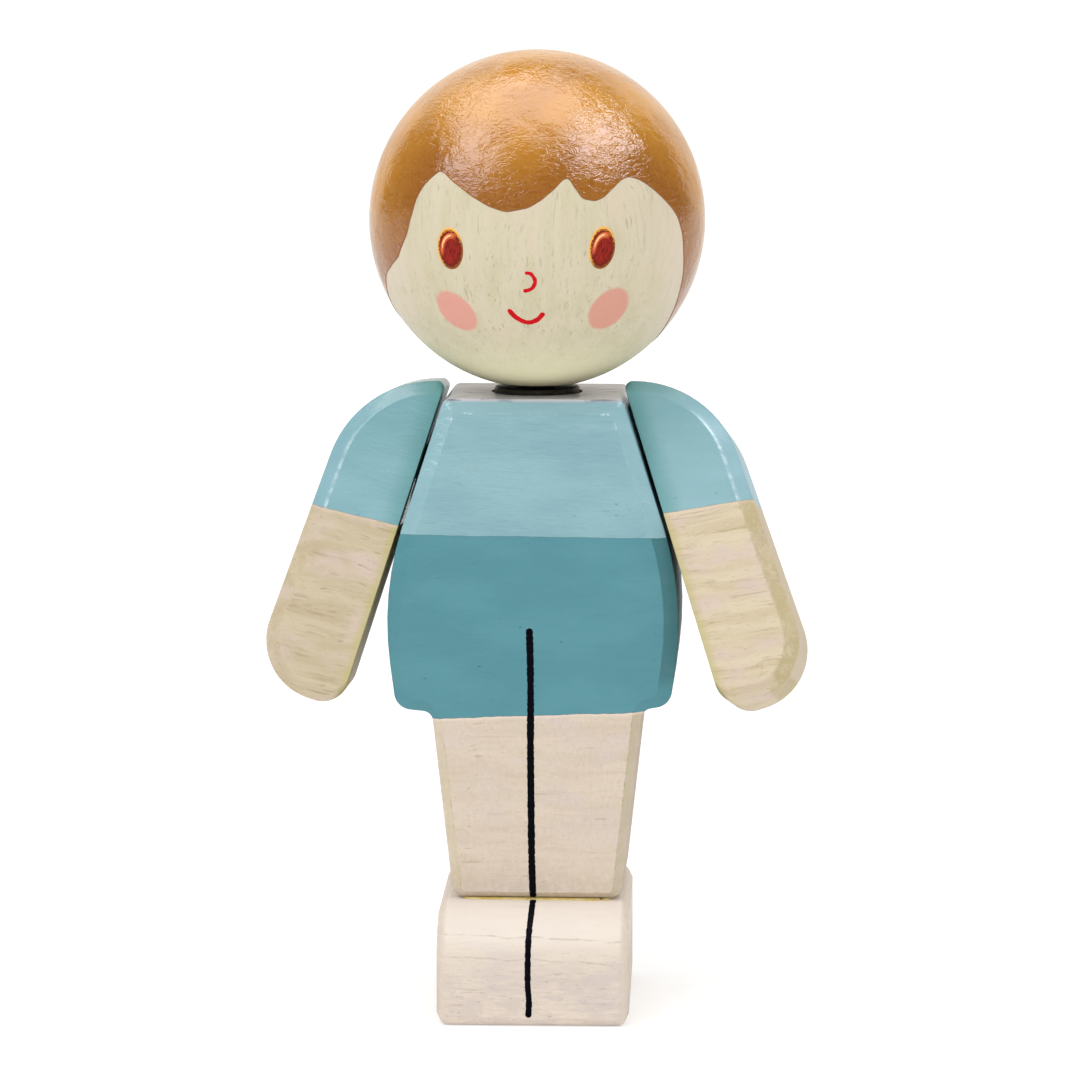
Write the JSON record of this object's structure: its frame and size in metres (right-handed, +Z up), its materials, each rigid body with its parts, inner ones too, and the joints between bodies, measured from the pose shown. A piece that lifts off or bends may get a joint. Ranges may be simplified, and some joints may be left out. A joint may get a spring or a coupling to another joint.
{
  "type": "wooden toy figure",
  "caption": "Wooden toy figure with a turning ball head, a flat torso with legs on a foot block, and arms that swing at the shoulders, for pretend play.",
  "frame": {"origin": "on the floor under the middle of the figure, on the underside of the foot block", "axes": "+Z up; the figure faces -Y; +X is towards the figure's left arm"},
  "size_m": [0.0515, 0.032, 0.0914],
  "materials": {
    "stained_ball": "pale stain with painted hair and face, satin lacquer",
    "painted_board": "pale blue shirt and teal shorts in satin paint, limed legs",
    "painted_arm": "satin paint on the sleeve, bare sanded wood below",
    "limed_wood": "thin white wash, matt",
    "dowel_wood": "bare",
    "black_nylon": "smooth moulded"
  },
  "bodies": {
    "body": {"torso_and_legs": "painted_board", "foot_block": "limed_wood", "left_foot_dowel": "dowel_wood", "right_foot_dowel": "dowel_wood", "neck_peg": "black_nylon", "left_shoulder_peg": "black_nylon", "right_shoulder_peg": "black_nylon"},
    "head": {"head": "stained_ball", "head_socket": "black_nylon"},
    "left_arm": {"left_arm": "painted_arm", "left_arm_socket": "black_nylon"},
    "right_arm": {"right_arm": "painted_arm", "right_arm_socket": "black_nylon"}
  },
  "joints": [
    {"name": "head_turn", "type": "hinge", "parent": "body", "child": "head", "pos_m": [0, 0, 0.0589], "axis": [0, 0, 1], "continuous": true},
    {"name": "left_arm_swing", "type": "hinge", "parent": "body", "child": "left_arm", "pos_m": [0.01116, 0, 0.05138], "axis": [-0.9511, 0, -0.309], "range_deg": [-126, 98]},
    {"name": "right_arm_swing", "type": "hinge", "parent": "body", "child": "right_arm", "pos_m": [-0.01094, 0, 0.05205], "axis": [-0.9511, 0, 0.309], "range_deg": [-116.5, 107.5]}
  ]
}
